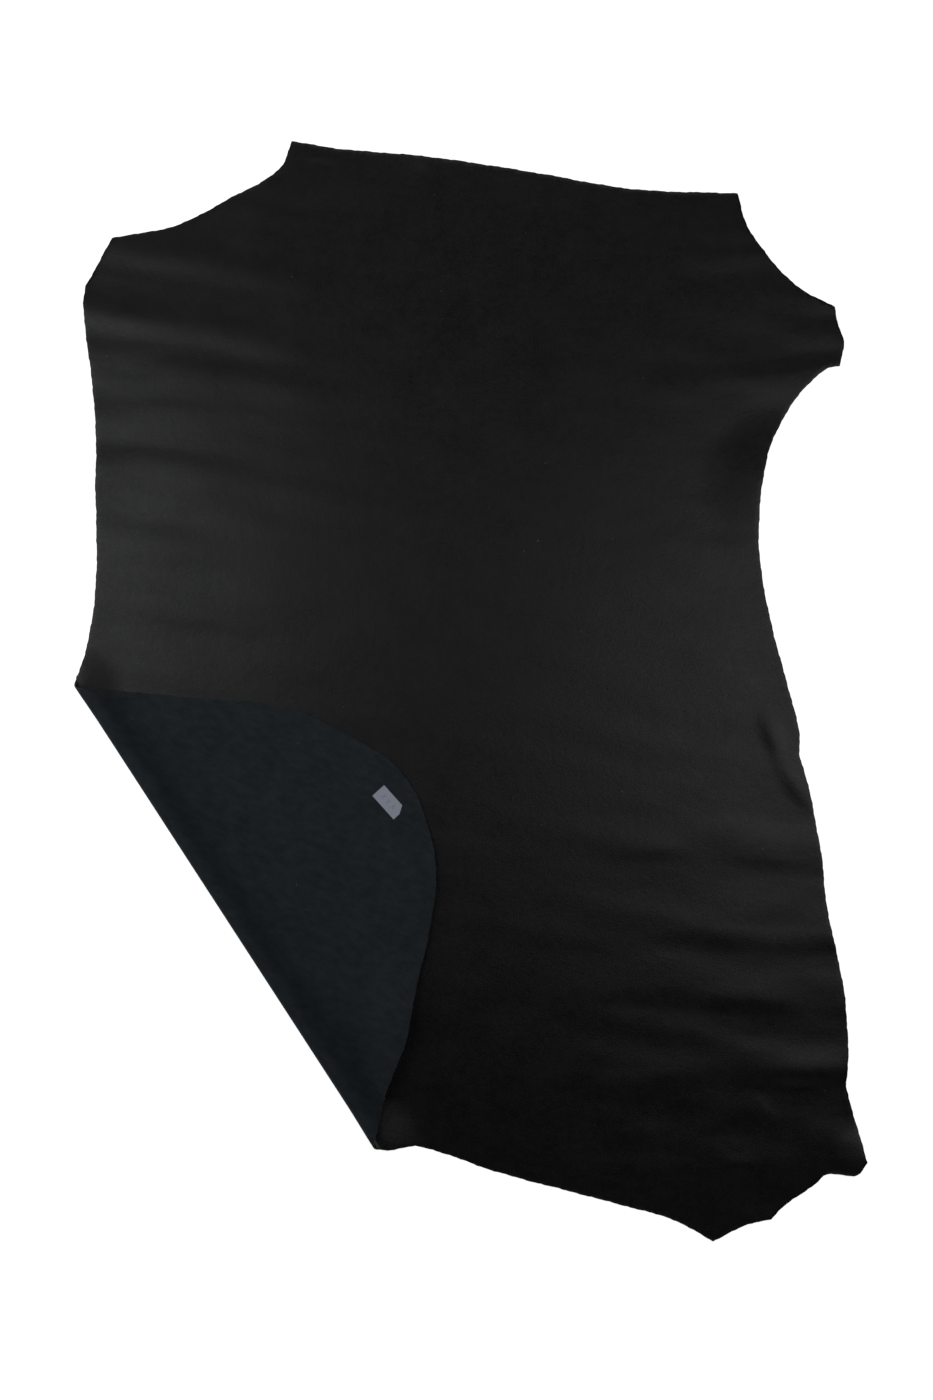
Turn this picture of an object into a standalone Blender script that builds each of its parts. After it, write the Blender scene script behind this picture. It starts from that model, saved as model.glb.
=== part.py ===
"""A whole black calf skin, lying grain side up on a flat surface, one hind corner turned over.

The skin is one sheet. It is drawn as the flat cut piece first. Then its hind corner is rolled
over a straight fold, and its edges are raised in the soft ridges that a rolled skin keeps.
The neck is at +Y, the rump at -Y, and the turned corner is at -X, -Y. Units are metres.
"""
from collections import namedtuple

import bpy
import numpy as np
from mathutils import Vector
from mathutils.geometry import delaunay_2d_cdt

MM = 0.001

# ---- driving dimensions, in millimetres -------------------------------------------------------
SKIN_THICKNESS = 1.8
LAYER_GAP = 1.5             # air between the skin and the corner that lies on it

FOLD_HIGH_END = (-498.2, 9.1)      # where the fold meets the belly edge
FOLD_LOW_END = (-117.7, -577.5)    # where the fold meets the rump edge
BEND_LENGTH = 26.0          # skin taken up by the turn, from flat to just past upside down
BEND_OVERSHOOT = 20.0       # degrees by which the turn goes past upside down
SETTLE_LENGTH = 46.0        # skin taken up while the corner comes down onto the skin

LABEL_LENGTH = 40.0
LABEL_WIDTH = 20.0
LABEL_THICKNESS = 0.5
LABEL_SNIP_ALONG = 6.0      # size of the snipped corner, along and across the label
LABEL_SNIP_ACROSS = 10.0
LABEL_CLEARANCE = 0.3
LABEL_ALONG = 340.0         # centre of the label, along the fold from its high end
LABEL_REACH = 251.5         # centre of the label, in from the fold
LABEL_TURN = 9.0            # degrees from the fold's direction

OUTLINE_STEP = 12.0         # spacing of points round the edge
GRID_ACROSS = 36.0          # spacing of points from belly to belly
GRID_DOWN = 11.0            # spacing of points from neck to rump
COARSE_EVERY = 3            # only each third grid line is kept where the skin lies flat
EDGE_MARGIN = 5.0           # grid points stay this far inside the edge
FOLD_ROW_STEP = 2.3         # spacing of lines round the bend
SETTLE_ROWS = (0.25, 0.45, 0.65, 0.85, 1.1)    # lines past the bend, as shares of its settling
FOLD_COLUMN_STEP = 27.0     # spacing of points along those lines
FOLD_MARGIN = 20.0          # the lines run this far past the fold's ends
FOLD_EDGE_STEP = 6.0        # spacing of points round the edge beside the bend
SNAP_DISTANCE = 0.8         # points nearer than this become one

# ---- the cut edge, clockwise from the neck, as the skin lies -----------------------------------
# Each run is a smooth curve from one corner to the next; the next run starts where it ends.
EDGE_BEFORE_FOLD = {
    "neck": ((-224.8, 693.3), (-159, 683), (-38, 672), (90, 652), (212, 632), (337.2, 627.7)),
    "right foreleg, neck side": ((346, 594), (364, 562), (410, 512), (458.9, 484.6)),
    "right foreleg end": ((464, 460), (470.7, 441), (465.0, 409.8)),
    "right flank": (
        (447, 405), (410, 368), (374.5, 298), (363.6, 198), (373, 114), (405, -11), (415, -54),
        (414.0, -79.1),
    ),
    "right belly": ((427, -122), (444, -218), (448, -262), (470, -373), (476.5, -455),
                    (473.3, -498.1)),
    "right hind leg": ((490.5, -561), (499.2, -591.9)),
    "right hind leg end": ((487, -608), (450, -608), (434, -621), (399, -645), (378.7, -664.4)),
    "rump": ((350, -671), (305.7, -692.7)),
}
# The last run goes from the rump, round the turned corner and up to the left foreleg.
RUMP_TO_FOLD = ((260, -667), (234, -658), (157, -638), (31, -604), (-65, -573), (-104, -576))
FOLD_TO_FORELEG = ((-488, 37), (-474, 104), (-470.5, 167), (-471.5, 254), (-471, 311),
                   (-476, 388), (-487, 484), (-484.3, 511.1))
EDGE_AFTER_FOLD = {
    "left foreleg end": ((-450.3, 571.0),),
    "left foreleg, neck side": ((-373, 586), (-308, 618), (-241, 657), (-224.8, 693.3)),
}
# The turned corner's edge: distance along the fold from its high end, and reach in from it.
CornerEdge = namedtuple("CornerEdge", "along reach")
CORNER_EDGE = (
    CornerEdge(677, 16), CornerEdge(643, 51), CornerEdge(603, 106), CornerEdge(554, 154),
    CornerEdge(513, 197), CornerEdge(442, 256), CornerEdge(368, 283), CornerEdge(318, 285),
    CornerEdge(281, 275), CornerEdge(193, 226), CornerEdge(146, 183), CornerEdge(121, 149),
    CornerEdge(31, 34),
)

# ---- ridges that run in from the edges ---------------------------------------------------------
# start x, y: where the crest leaves the edge; run x, y: how far it goes before it dies out;
# neck side, tail side: widths of its two slopes.
Ridge = namedtuple("Ridge", "start_x start_y run_x run_y height neck_side tail_side")
RIDGES = (
    Ridge(-300, 618, 190, -42, 2.2, 30, 34),
    Ridge(-430, 566, 290, -50, 2.8, 30, 36),
    Ridge(-492, 481, 300, -46, 4.0, 34, 36),
    Ridge(-486, 417, 340, -50, 4.4, 30, 34),
    Ridge(-478, 348, 210, -14, 3.4, 30, 34),
    Ridge(-474, 280, 330, -40, 4.0, 30, 42),
    Ridge(-474, 203, 260, -26, 2.8, 32, 44),
    Ridge(-474, 125, 280, -20, 2.0, 34, 46),
    Ridge(372, 545, -140, 10, 2.4, 26, 26),
    Ridge(432, 497, -150, 12, 3.4, 22, 30),
    Ridge(470, 443, -80, 8, 3.4, 20, 22),
    Ridge(452, 402, -280, -12, 3.8, 18, 34),
    Ridge(366, 198, -240, 6, 1.8, 26, 40),
    Ridge(398, 20, -190, 14, 1.6, 20, 36),
    Ridge(448, -215, -300, 12, 4.2, 44, 22),
    Ridge(462, -306, -330, 14, 3.6, 44, 22),
    Ridge(474, -394, -320, 6, 4.2, 46, 22),
    Ridge(477, -474, -370, -20, 5.0, 42, 26),
    Ridge(410, -588, -260, -10, 3.6, 46, 28),
)

# ---- places that stand up from the surface -----------------------------------------------------
# Heights are of the middle; radius is how far from it the place dies out.
Rise = namedtuple("Rise", "x y height radius")
SKIN_RISES = (
    Rise(398, 276, 7.0, 105),      # belly edge at the waist
    Rise(420, -100, 4.0, 62),      # pleat in the belly edge
    Rise(492, -575, 9.0, 78),      # curled tip of the right hind leg
)
FOLD_END_RISES = (
    Rise(-498, 9, 7.0, 95),
    Rise(-118, -577, 9.0, 100),
)
CornerLift = namedtuple("CornerLift", "along reach height along_radius reach_radius")
CORNER_LIFTS = (
    CornerLift(580, 125, 13.0, 190, 125),
    CornerLift(470, 235, 7.0, 108, 110),
)

COLLECTION_NAME = "Leather hide"


def ease(share):
    """Go smoothly from 0 to 1."""
    share = np.clip(share, 0.0, 1.0)
    return share * share * (3.0 - 2.0 * share)


def mound(distance):
    """Fall smoothly from 1 at the middle to 0 at a distance of 1."""
    return 1.0 - ease(np.abs(distance))


# ---- the fold ----------------------------------------------------------------------------------
FOLD_ORIGIN = np.array(FOLD_HIGH_END)
FOLD_SPAN = np.array(FOLD_LOW_END) - FOLD_ORIGIN
FOLD_ALONG = FOLD_SPAN / np.hypot(*FOLD_SPAN)
FOLD_INWARD = np.array((-FOLD_ALONG[1], FOLD_ALONG[0]))


def fold_section():
    """Section across the fold: skin length past the turn's start, distance in, and height."""
    steps = 600
    length = np.linspace(0.0, BEND_LENGTH + SETTLE_LENGTH, steps)
    overshoot = np.radians(BEND_OVERSHOOT)
    share = np.minimum(length / BEND_LENGTH, 1.0)
    turning = (np.pi + overshoot) * (share + ease(share)) / 2.0
    heading = turning - overshoot * ease((length - BEND_LENGTH) / SETTLE_LENGTH)
    step = length[1]
    inward = np.concatenate(((0.0,), np.cumsum(-np.cos(heading[:-1]) * step)))
    height = np.concatenate(((0.0,), np.cumsum(np.sin(heading[:-1]) * step)))
    inward = inward - inward.min()
    top = height.max()
    rest = 2.0 * SKIN_THICKNESS + LAYER_GAP
    past_top = np.arange(steps) > height.argmax()
    fallen = top - (top - height) * (top - rest) / (top - height[-1])
    height = np.where(past_top, fallen, height)
    return length, inward, height


SECTION_LENGTH, SECTION_INWARD, SECTION_HEIGHT = fold_section()
TURN_START = SECTION_INWARD[0]


def fold_position(points):
    """Distances along the fold and in from it."""
    offset = np.asarray(points, dtype=float) - FOLD_ORIGIN
    return offset @ FOLD_ALONG, offset @ FOLD_INWARD


def corner_to_flat(along, reach):
    """Where a point of the turned corner is on the flat piece, unrolled past the fold."""
    unrolled = SECTION_LENGTH[-1] + reach - SECTION_INWARD[-1]
    near = reach < SECTION_INWARD[-1]
    past_edge = SECTION_INWARD.argmin()
    rolled = np.interp(reach, SECTION_INWARD[past_edge:], SECTION_LENGTH[past_edge:])
    length = np.where(near, rolled, unrolled)
    flat_inward = TURN_START - length
    return (FOLD_ORIGIN + np.multiply.outer(along, FOLD_ALONG)
            + np.multiply.outer(flat_inward, FOLD_INWARD))


# ---- the heights of the lying skin -------------------------------------------------------------
def ridge_height(x, y):
    """Height of all the ridges at each place."""
    total = np.zeros_like(x)
    for ridge in RIDGES:
        share = (x - ridge.start_x) / ridge.run_x
        crest_y = ridge.start_y + ridge.run_y * share
        offset = y - crest_y
        side = np.where(offset > 0.0, ridge.neck_side, ridge.tail_side)
        total += ridge.height * (1.0 - ease(share)) * mound(offset / side)
    return total


def rise_height(rises, x, y):
    """Height of the round rises at each place."""
    total = np.zeros_like(x)
    for rise in rises:
        total += rise.height * mound(np.hypot(x - rise.x, y - rise.y) / rise.radius)
    return total


def corner_lift(along, reach):
    """How far the turned corner stands clear of where it would lie."""
    total = np.zeros_like(along)
    for lift in CORNER_LIFTS:
        total += (lift.height * mound((along - lift.along) / lift.along_radius)
                  * mound((reach - lift.reach) / lift.reach_radius))
    return total


def lay(flat):
    """Places of the skin's flesh side, in millimetres, for points of the flat piece."""
    along, flat_inward = fold_position(flat)
    length = TURN_START - flat_inward
    turned = length > 0.0
    beyond = np.maximum(length - SECTION_LENGTH[-1], 0.0)
    rolled = np.interp(length, SECTION_LENGTH, SECTION_INWARD) + beyond
    inward = np.where(turned, rolled, flat_inward)
    plan = (FOLD_ORIGIN + np.multiply.outer(along, FOLD_ALONG)
            + np.multiply.outer(inward, FOLD_INWARD))
    x, y = plan[:, 0], plan[:, 1]
    section = np.interp(length, SECTION_LENGTH, SECTION_HEIGHT)
    settled = ease((length - BEND_LENGTH) / SETTLE_LENGTH)
    skin_height = ridge_height(x, y) + rise_height(SKIN_RISES, x, y)
    corner_height = section + corner_lift(along, inward) * settled
    height = np.where(turned, corner_height, skin_height)
    height = height + rise_height(FOLD_END_RISES, x, y)
    return np.column_stack((x, y, height))


# ---- the flat piece ----------------------------------------------------------------------------
def smooth_run(points, step):
    """Points along a smooth curve through the given points, without the last one."""
    points = np.array(points, dtype=float)
    before = np.vstack((2 * points[0] - points[1], points, 2 * points[-1] - points[-2]))
    run = []
    for start in range(len(points) - 1):
        p0, p1, p2, p3 = before[start:start + 4]
        chord = np.hypot(*(p2 - p1))
        middle_length = TURN_START - fold_position((p1 + p2) / 2)[1]
        at_turn = -FOLD_MARGIN < middle_length < BEND_LENGTH + SETTLE_LENGTH
        near = (p2 - p0) * chord / (np.hypot(*(p1 - p0)) + chord)
        far = (p3 - p1) * chord / (np.hypot(*(p3 - p2)) + chord)
        count = max(1, int(round(chord / (FOLD_EDGE_STEP if at_turn else step))))
        for share in np.arange(count) / count:
            square, cube = share ** 2, share ** 3
            run.append((2 * cube - 3 * square + 1) * p1 + (cube - 2 * square + share) * near
                       + (3 * square - 2 * cube) * p2 + (cube - square) * far)
    return run


def flat_outline(step):
    """The cut edge of the flat piece, clockwise from the neck's left corner."""
    corner = [corner_to_flat(row.along, row.reach) for row in CORNER_EDGE]
    hind_run = RUMP_TO_FOLD + tuple(map(tuple, corner)) + FOLD_TO_FORELEG
    runs = list(EDGE_BEFORE_FOLD.values()) + [hind_run] + list(EDGE_AFTER_FOLD.values())
    outline = []
    start = ()
    for run in runs:
        outline.extend(smooth_run(start + run, step))
        start = (run[-1],)
    return np.array(outline)


def inside(points, outline, margin):
    """Whether each point is inside the outline by more than the margin."""
    ends = np.roll(outline, -1, axis=0)
    spans = ends - outline
    kept = np.zeros(len(points), dtype=bool)
    for index, point in enumerate(points):
        offset = point - outline
        share = np.clip((offset * spans).sum(1) / (spans ** 2).sum(1), 0.0, 1.0)
        nearest = np.hypot(*(offset - share[:, None] * spans).T).min()
        above = (outline[:, 1] > point[1]) != (ends[:, 1] > point[1])
        cross_x = outline[:, 0] + spans[:, 0] * (point[1] - outline[:, 1]) / (
            np.where(above, spans[:, 1], 1.0))
        crossings = np.count_nonzero(above & (cross_x > point[0]))
        kept[index] = crossings % 2 == 1 and nearest > margin
    return kept


def fold_lines():
    """Points and edges of lines along the fold, close together where the skin turns."""
    turn_rows = np.arange(0.0, BEND_LENGTH + FOLD_ROW_STEP, FOLD_ROW_STEP)
    settle_rows = BEND_LENGTH + SETTLE_LENGTH * np.array(SETTLE_ROWS)
    lengths = np.concatenate((turn_rows, settle_rows))
    columns = np.arange(-FOLD_MARGIN, np.hypot(*FOLD_SPAN) + FOLD_MARGIN, FOLD_COLUMN_STEP)
    along, length = np.meshgrid(columns, lengths)
    points = (FOLD_ORIGIN + np.multiply.outer(along.ravel(), FOLD_ALONG)
              + np.multiply.outer(TURN_START - length.ravel(), FOLD_INWARD))
    number = np.arange(len(points)).reshape(along.shape)
    edges = np.column_stack((number[:, :-1].ravel(), number[:, 1:].ravel()))
    return points, edges


def grid_points(outline):
    """A grid over the piece, thinned out where the skin lies flat, and clear of the fold."""
    low, high = outline.min(0), outline.max(0)
    columns = np.arange(low[0], high[0], GRID_ACROSS)
    rows = np.arange(low[1], high[1], GRID_DOWN)
    column, row = np.meshgrid(np.arange(len(columns)), np.arange(len(rows)))
    column, row = column.ravel(), row.ravel()
    points = np.column_stack((columns[column] + (row % 2) * GRID_ACROSS / 2, rows[row]))
    length = TURN_START - fold_position(points)[1]
    settled = BEND_LENGTH + SETTLE_LENGTH
    clear = (length < -GRID_DOWN) | (length > settled + GRID_DOWN)
    places = lay(points)
    lying = np.where(length > 0.0, places[:, 2] - SECTION_HEIGHT[-1], places[:, 2]) < 0.02
    coarse = (row % COARSE_EVERY == 0) & (column % COARSE_EVERY == 0)
    return points[clear & (coarse | ~lying)]


def flat_faces():
    """Points and triangles of the flat piece. The lines along the fold are kept as edges."""
    outline = flat_outline(OUTLINE_STEP)
    grid = grid_points(outline)
    grid = grid[inside(grid, outline, EDGE_MARGIN)]
    line_points, line_edges = fold_lines()
    line_start = len(outline) + len(grid)
    points = [Vector(point) for point in np.vstack((outline, grid, line_points))]
    edges = (line_edges + line_start).tolist()
    edge_loop = [list(range(len(outline)))]
    inside_only = 1
    found = delaunay_2d_cdt(points, edges, edge_loop, inside_only, SNAP_DISTANCE)
    used = sorted({corner for face in found[2] for corner in face})
    number = {corner: index for index, corner in enumerate(used)}
    flat = np.array([tuple(found[0][corner]) for corner in used])
    return flat, [[number[corner] for corner in face] for face in found[2]]


def signed_area(points):
    """Area of a closed outline, positive where it runs counter-clockwise."""
    x, y = points[:, 0], points[:, 1]
    return 0.5 * np.sum(x * np.roll(y, -1) - np.roll(x, -1) * y)


# ---- the pieces --------------------------------------------------------------------------------
def finish_material(name, colour, roughness):
    material = bpy.data.materials.new(name)
    material.use_nodes = True
    shader = material.node_tree.nodes["Principled BSDF"]
    shader.inputs["Base Color"].default_value = colour
    shader.inputs["Roughness"].default_value = roughness
    shader.inputs["Metallic"].default_value = 0.0
    return material


def add_piece(collection, name, points, faces, thickness, material):
    """A sheet whose outer side is the given surface, thickened inwards."""
    mesh = bpy.data.meshes.new(name)
    mesh.from_pydata((points * MM).tolist(), [], faces)
    mesh.materials.append(material)
    mesh.shade_smooth()
    piece = bpy.data.objects.new(name, mesh)
    collection.objects.link(piece)
    wall = piece.modifiers.new("thickness", "SOLIDIFY")
    wall.thickness = thickness * MM
    wall.offset = -1.0
    return piece


def add_hide(collection):
    points, faces = flat_faces()
    flesh_side_out = [tuple(face) if signed_area(points[list(face)]) < 0.0
                      else tuple(reversed(face)) for face in faces]
    places = lay(points)
    middle = (places.min(0) + places.max(0)) / 2.0
    middle[2] = 0.0
    leather = finish_material("black_calf_leather", (0.010, 0.010, 0.011, 1.0), 0.5)
    add_piece(collection, "hide", places - middle, flesh_side_out, SKIN_THICKNESS, leather)
    return middle


def add_label(collection, middle):
    """A paper rectangle with one snipped corner, on the flesh side of the turned corner."""
    half_length, half_width = LABEL_LENGTH / 2.0, LABEL_WIDTH / 2.0
    shape = np.array((
        (-half_length, -half_width),
        (half_length, -half_width),
        (half_length, half_width - LABEL_SNIP_ACROSS),
        (half_length - LABEL_SNIP_ALONG, half_width),
        (-half_length, half_width),
    ))
    turn = np.radians(LABEL_TURN)
    rotation = np.array(((np.cos(turn), np.sin(turn)), (-np.sin(turn), np.cos(turn))))
    along, reach = (shape @ rotation + (LABEL_ALONG, LABEL_REACH)).T
    places = lay(corner_to_flat(along, reach))
    places[:, 2] += LABEL_CLEARANCE + LABEL_THICKNESS
    upward = list(range(len(shape)))
    if signed_area(places[:, :2]) < 0.0:
        upward.reverse()
    paper = finish_material("white_paper", (0.45, 0.48, 0.55, 1.0), 0.7)
    add_piece(collection, "label", places - middle, [upward], LABEL_THICKNESS, paper)


def main():
    for leftover in list(bpy.data.objects):
        bpy.data.objects.remove(leftover)
    collection = bpy.data.collections.new(COLLECTION_NAME)
    bpy.context.scene.collection.children.link(collection)
    middle = add_hide(collection)
    add_label(collection, middle)


main()
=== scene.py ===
"""The looks of a whole black calf skin, lying grain side up with one hind corner turned over.

Tables of places are in millimetres from the middle of the lying skin, +Y towards the neck.
Meshes are in metres.
"""
import math
from collections import namedtuple

import bpy
import numpy as np
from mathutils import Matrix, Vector
from mathutils.geometry import delaunay_2d_cdt


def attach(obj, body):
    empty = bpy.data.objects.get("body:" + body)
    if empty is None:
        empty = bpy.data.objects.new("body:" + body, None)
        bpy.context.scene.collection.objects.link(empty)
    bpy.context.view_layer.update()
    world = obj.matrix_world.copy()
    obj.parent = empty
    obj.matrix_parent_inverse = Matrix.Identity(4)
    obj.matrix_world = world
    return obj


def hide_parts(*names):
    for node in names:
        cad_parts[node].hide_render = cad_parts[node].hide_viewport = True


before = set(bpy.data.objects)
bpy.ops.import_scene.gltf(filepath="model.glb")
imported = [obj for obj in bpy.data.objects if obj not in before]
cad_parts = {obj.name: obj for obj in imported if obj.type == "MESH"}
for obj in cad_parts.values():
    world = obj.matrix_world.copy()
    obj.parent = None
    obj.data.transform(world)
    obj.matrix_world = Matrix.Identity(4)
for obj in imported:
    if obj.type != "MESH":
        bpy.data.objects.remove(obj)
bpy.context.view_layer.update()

bl_info = {
    "name": "Leather hide",
    "version": (1, 0, 0),
    "blender": (4, 5, 0),
    "location": "3D View > Sidebar > Hide",
    "description": "Builds a black calf skin with a turned corner, its label, its fibres and a stage",
    "category": "Add Mesh",
}

MM = 0.001
FLAT_MAP = "flat_cut"       # UV map with the place on the flat cut piece, one unit to a metre

# ---- the cut edge, clockwise from the neck, as the skin lies -----------------------------------
# Each run is a smooth curve from one corner to the next; the next run starts where it ends.
EDGE_BEFORE_FOLD = {
    "neck": ((-224.8, 693.3), (-159, 683), (-38, 672), (90, 652), (212, 632), (337.2, 627.7)),
    "right foreleg, neck side": ((346, 594), (364, 562), (410, 512), (458.9, 484.6)),
    "right foreleg end": ((464, 460), (470.7, 441), (465.0, 409.8)),
    "right flank": (
        (447, 405), (410, 368), (374.5, 298), (363.6, 198), (373, 114), (405, -11), (415, -54),
        (414.0, -79.1),
    ),
    "right belly": ((427, -122), (444, -218), (448, -262), (470, -373), (476.5, -455),
                    (473.3, -498.1)),
    "right hind leg": ((490.5, -561), (499.2, -591.9)),
    "right hind leg end": ((487, -608), (450, -608), (434, -621), (399, -645), (378.7, -664.4)),
    "rump": ((350, -671), (305.7, -692.7)),
}
# The last run goes from the rump, round the turned corner and up to the left foreleg.
RUMP_TO_FOLD = ((260, -667), (234, -658), (157, -638), (31, -604), (-65, -573), (-104, -576))
FOLD_TO_FORELEG = ((-488, 37), (-474, 104), (-470.5, 167), (-471.5, 254), (-471, 311),
                   (-476, 388), (-487, 484), (-484.3, 511.1))
EDGE_AFTER_FOLD = {
    "left foreleg end": ((-450.3, 571.0),),
    "left foreleg, neck side": ((-373, 586), (-308, 618), (-241, 657), (-224.8, 693.3)),
}
# The turned corner's edge: distance along the fold from its high end, and reach in from it.
CornerEdge = namedtuple("CornerEdge", "along reach")
CORNER_EDGE = (
    CornerEdge(677, 16), CornerEdge(643, 51), CornerEdge(603, 106), CornerEdge(554, 154),
    CornerEdge(513, 197), CornerEdge(442, 256), CornerEdge(368, 283), CornerEdge(318, 285),
    CornerEdge(281, 275), CornerEdge(193, 226), CornerEdge(146, 183), CornerEdge(121, 149),
    CornerEdge(31, 34),
)
EDGE_WANDER = 0.5           # how far the knife strays from a smooth line, in millimetres

# ---- the fold ----------------------------------------------------------------------------------
FOLD_HIGH_END = (-498.2, 9.1)      # where the fold meets the belly edge
FOLD_LOW_END = (-117.7, -577.5)    # where the fold meets the rump edge
BEND_LENGTH = 26.0          # skin taken up by the turn, from flat to just past upside down
BEND_OVERSHOOT = 20.0       # degrees by which the turn goes past upside down
SETTLE_LENGTH = 46.0        # skin taken up while the corner comes down onto the skin

# ---- ridges that run in from the edges ---------------------------------------------------------
# start x, y: where the crest leaves the edge; run x, y: how far it goes before it dies out;
# neck side, tail side: widths of its two slopes.
Ridge = namedtuple("Ridge", "start_x start_y run_x run_y height neck_side tail_side")
RIDGES = (
    Ridge(-300, 618, 227, -46, 1.1, 36, 41),
    Ridge(-430, 566, 356, -60, 1.4, 36, 43),
    Ridge(-492, 481, 367, -56, 2, 41, 43),
    Ridge(-486, 422, 432, -60, 2, 34, 43),
    Ridge(-478, 358, 270, -22, 1.4, 31, 41),
    Ridge(-474, 280, 432, -46, 2.2, 36, 50),
    Ridge(-474, 207, 324, -28, 1.5, 36, 53),
    Ridge(-474, 125, 324, -22, 1.1, 38, 55),
    Ridge(372, 545, -192, 10, 1, 31, 31),
    Ridge(432, 497, -216, 14, 1.3, 26, 36),
    Ridge(470, 443, -108, 8, 1.1, 24, 26),
    Ridge(452, 402, -384, -12, 1.4, 22, 41),
    Ridge(366, 180, -312, 6, 0.9, 31, 48),
    Ridge(398, 2, -230, 26, 0.9, 24, 43),
    Ridge(448, -208, -432, 16, 1.8, 52, 24),
    Ridge(462, -302, -480, 2, 1.5, 52, 29),
    Ridge(474, -388, -480, 14, 1.7, 52, 26),
    Ridge(477, -468, -516, -28, 2.4, 50, 31),
    Ridge(410, -588, -360, -10, 1.5, 50, 34),
)
RIDGE_WANDER = 3.0          # how far a crest strays to either side of its straight line
RIDGE_UNEVENNESS = 0.30     # by what share its height goes up and down
# Slight waves all over the skin, longest from belly to belly, and strongest in the loose flanks.
WAVE_ACROSS = 190.0
WAVE_DOWN = 56.0
WAVE_MIDDLE = 0.07          # their height along the back, and in the flanks
WAVE_FLANK = 0.20
WAVE_BASE = 1.8             # waves stand on this many times their height, clear of the floor
BACK_HALF_WIDTH = 50.0
FLANK_START = 300.0
CORNER_WAVE = 0.45          # height of the waves in the turned corner, which lies loose
CORNER_WAVE_BASE = 1.2      # they stand on this many times their height, clear of the skin

# ---- places that stand up from the surface -----------------------------------------------------
Rise = namedtuple("Rise", "x y height radius")
SKIN_RISES = (
    Rise(381, 260, 7.5, 95),       # belly edge at the waist
    Rise(502, -600, 7.0, 60),      # curled tip of the right hind leg
)
FOLD_END_RISES = (
    Rise(-498, 9, 7.0, 62),
    Rise(-118, -577, 9.0, 72),
)
CornerLift = namedtuple("CornerLift", "along reach height along_radius reach_radius")
CORNER_LIFTS = (
    CornerLift(600, 108, 25.0, 165, 100),
    CornerLift(470, 235, 9.0, 112, 110),
    CornerLift(650, 52, 8.0, 80, 55),
)
# Creases: short folds with a straight crest from one end to the other, and two unequal slopes.
Crease = namedtuple("Crease", "start_x start_y end_x end_y height left_width right_width")
CREASES = (
    Crease(364, -10, 400, -106, 2.2, 20, 16),      # pleat in the belly edge, upper half
    Crease(382, -74, 440, -166, 1.7, 16, 16),      # and lower half
    Crease(-72, 672, -50, 628, 1.1, 12, 14),       # kink in the neck edge
    Crease(-226, 666, -156, 658, 0.8, 11, 9),
    Crease(300, -592, 372, -598, 0.9, 16, 14),
    Crease(258, -556, 352, -532, 1.0, 22, 20),
    Crease(352, -500, 392, -566, 1.0, 16, 16),
    Crease(130, -500, 262, -500, 1.1, 30, 22),
    Crease(130, -566, 250, -556, 0.8, 18, 22),
    Crease(120, -612, 262, -634, 0.7, 18, 18),
)

# Painted shade on the flesh side beside the fold: how far past the fold it reaches, and the painted
# shade on the way, a little lighter at the fold itself and darkest in a band beside the bend.
FOLD_SHADE_REACH = 110.0
PAINTED_FOLD_SHADES = ((0.0, 1.08), (0.12, 1.0), (0.29, 0.66), (0.55, 0.92), (1.0, 1.0))

# ---- the label ---------------------------------------------------------------------------------
LABEL_SNIP_ALONG = 6.0      # size of the snipped corner, along and across the label
LABEL_SNIP_ACROSS = 10.0
LABEL_CLEARANCE = 0.3
LABEL_ALONG = 340.0         # centre of the label, along the fold from its high end
LABEL_REACH = 251.5         # centre of the label, in from the fold
LABEL_TURN = 9.0            # degrees from the fold's direction

# ---- the view ----------------------------------------------------------------------------------
VIEW_CENTRE = (-4.9, -11.1)
VIEW_LENGTH = 1764.0        # how much of the floor the picture's long side takes in
LENS = 60.0
SENSOR = 36.0

# Softboxes, in metres: place, size, and how far up the skin each is aimed.
Softbox = namedtuple("Softbox", "name power tint x y z width length aim_y")
SOFTBOXES = (
    Softbox("softbox_left", "left_power", "f9fbff", -0.98, 0.25, 1.12, 0.7, 1.4, 0.25),
    Softbox("softbox_right", "right_power", "fffbfb", 1.0, 0.05, 1.3, 0.8, 1.8, 0.05),
    Softbox("softbox_neck", "neck_power", "ffffff", 0.0, 1.6, 1.2, 1.6, 0.9, 0.0),
    Softbox("softbox_rump", "rump_power", "ffffff", 0.0, -1.8, 1.2, 1.6, 0.9, 0.0),
)


def ease(share):
    """Go smoothly from 0 to 1."""
    share = np.clip(share, 0.0, 1.0)
    return share * share * (3.0 - 2.0 * share)


def mound(distance):
    """Fall smoothly from 1 at the middle to 0 at a distance of 1."""
    return 1.0 - ease(np.abs(distance))


def unevenness(x, y, wave_x, wave_y, seed):
    """Smooth random waves of unit height, of about the given lengths."""
    rng = np.random.default_rng(seed)
    waves = 16
    total = np.zeros_like(x)
    for direction, stretch, phase in zip(rng.uniform(0.0, 2.0 * np.pi, waves),
                                         rng.uniform(0.55, 1.6, waves),
                                         rng.uniform(0.0, 2.0 * np.pi, waves)):
        turns = x * np.cos(direction) / wave_x + y * np.sin(direction) / wave_y
        total += np.sin(2.0 * np.pi * turns * stretch + phase)
    return total * np.sqrt(2.0 / waves)


def srgb(hex_code):
    """Linear colour, with alpha, of an sRGB hex code such as 1a1b1c."""
    colour = []
    for start in (0, 2, 4):
        value = int(hex_code[start:start + 2], 16) / 255.0
        colour.append(value / 12.92 if value <= 0.04045 else ((value + 0.055) / 1.055) ** 2.4)
    return (*colour, 1.0)


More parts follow.
